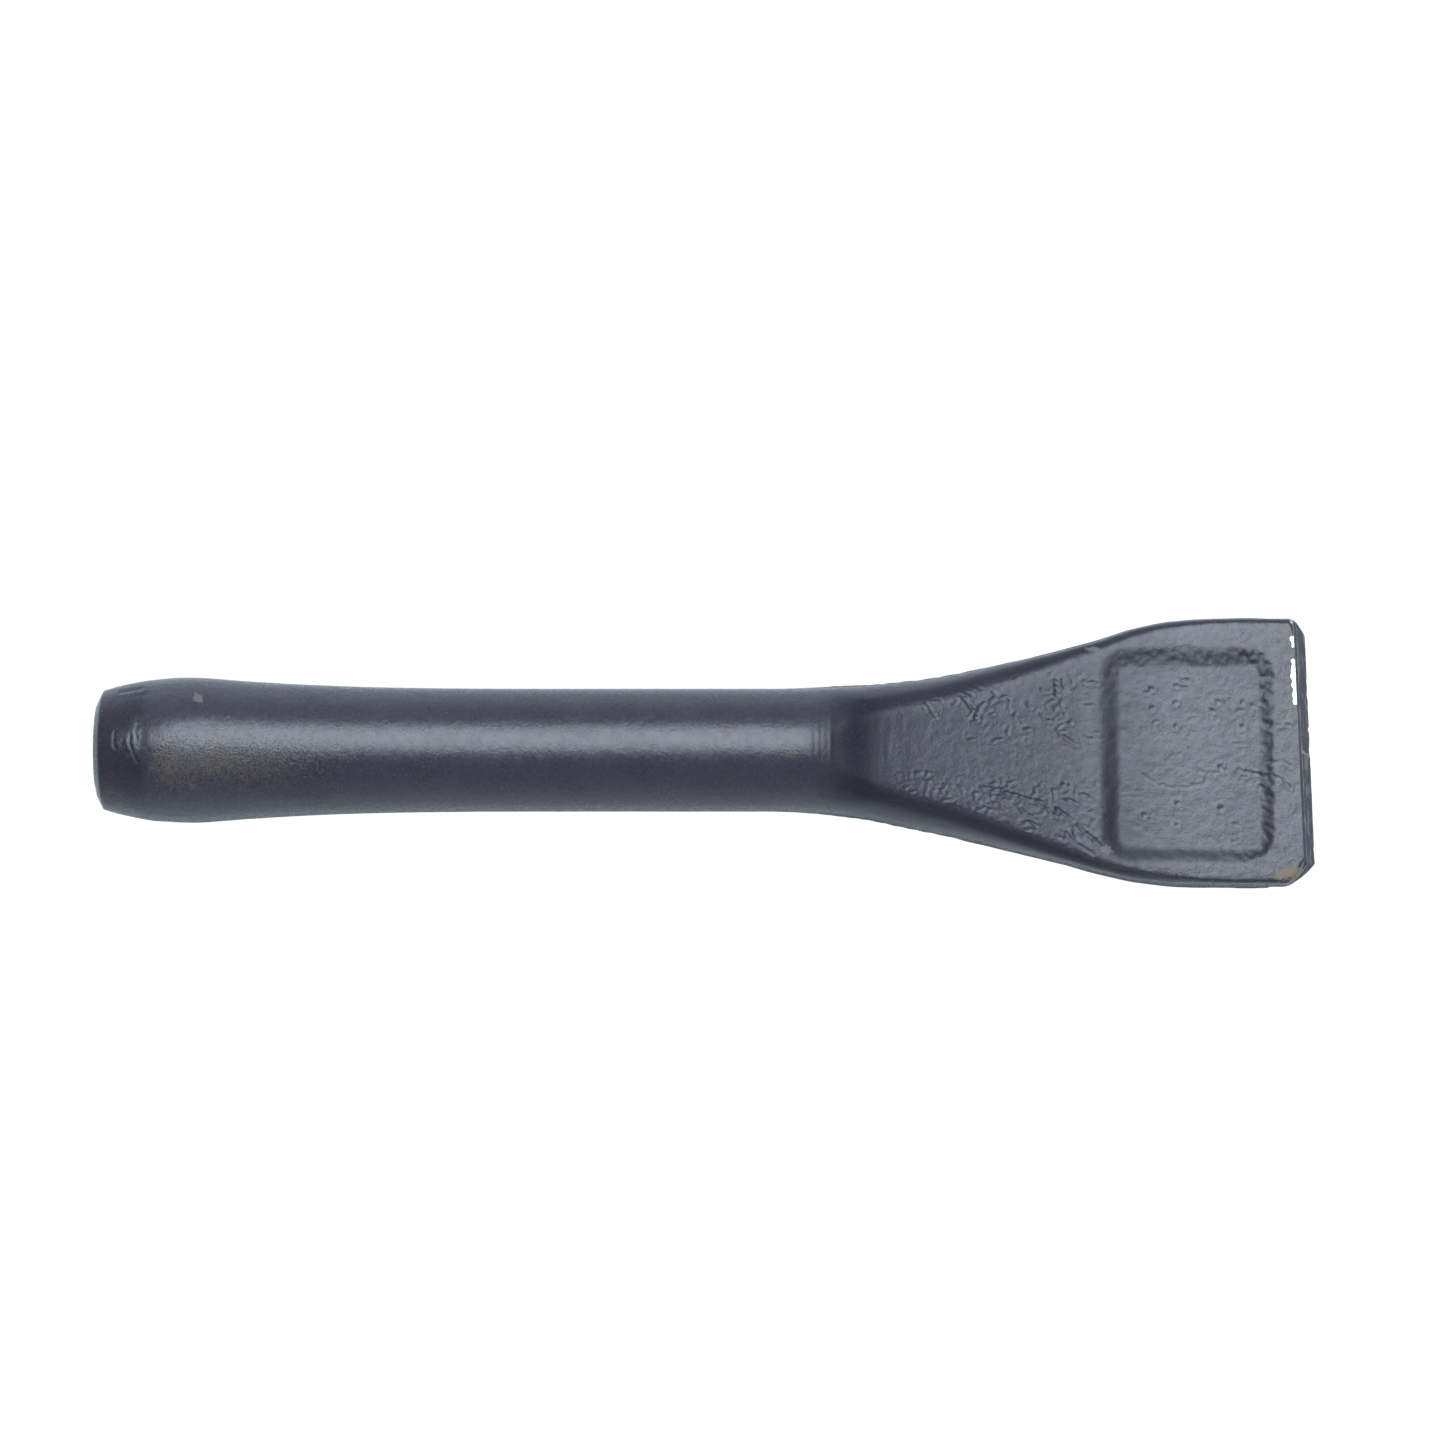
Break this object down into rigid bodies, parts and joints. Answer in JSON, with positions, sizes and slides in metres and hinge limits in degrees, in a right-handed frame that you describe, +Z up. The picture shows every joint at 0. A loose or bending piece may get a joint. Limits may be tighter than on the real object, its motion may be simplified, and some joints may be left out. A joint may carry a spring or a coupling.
{
  "type": "cold chisel",
  "caption": "Forged striking chisel with a round shank, a flared and scooped blade with a sunken panel, and a blunt carbide-tipped working end.",
  "frame": {"origin": "on the bench, under the middle of the tool as it lies on its flat back", "axes": "+X from the striking end to the working end, +Z up, out of the scooped face; the tool's left is +Y"},
  "size_m": [0.229, 0.0511, 0.0272],
  "materials": {
    "body_paint": "dark blue-grey enamel over a rough forged skin, semi-gloss",
    "carbide": "ground and dull",
    "braze": "golden filler metal, tarnished"
  },
  "bodies": {
    "root": {"forged_body": "body_paint", "carbide_tip_left": "carbide", "carbide_tip_right": "carbide", "braze_joint": "braze"}
  },
  "joints": []
}
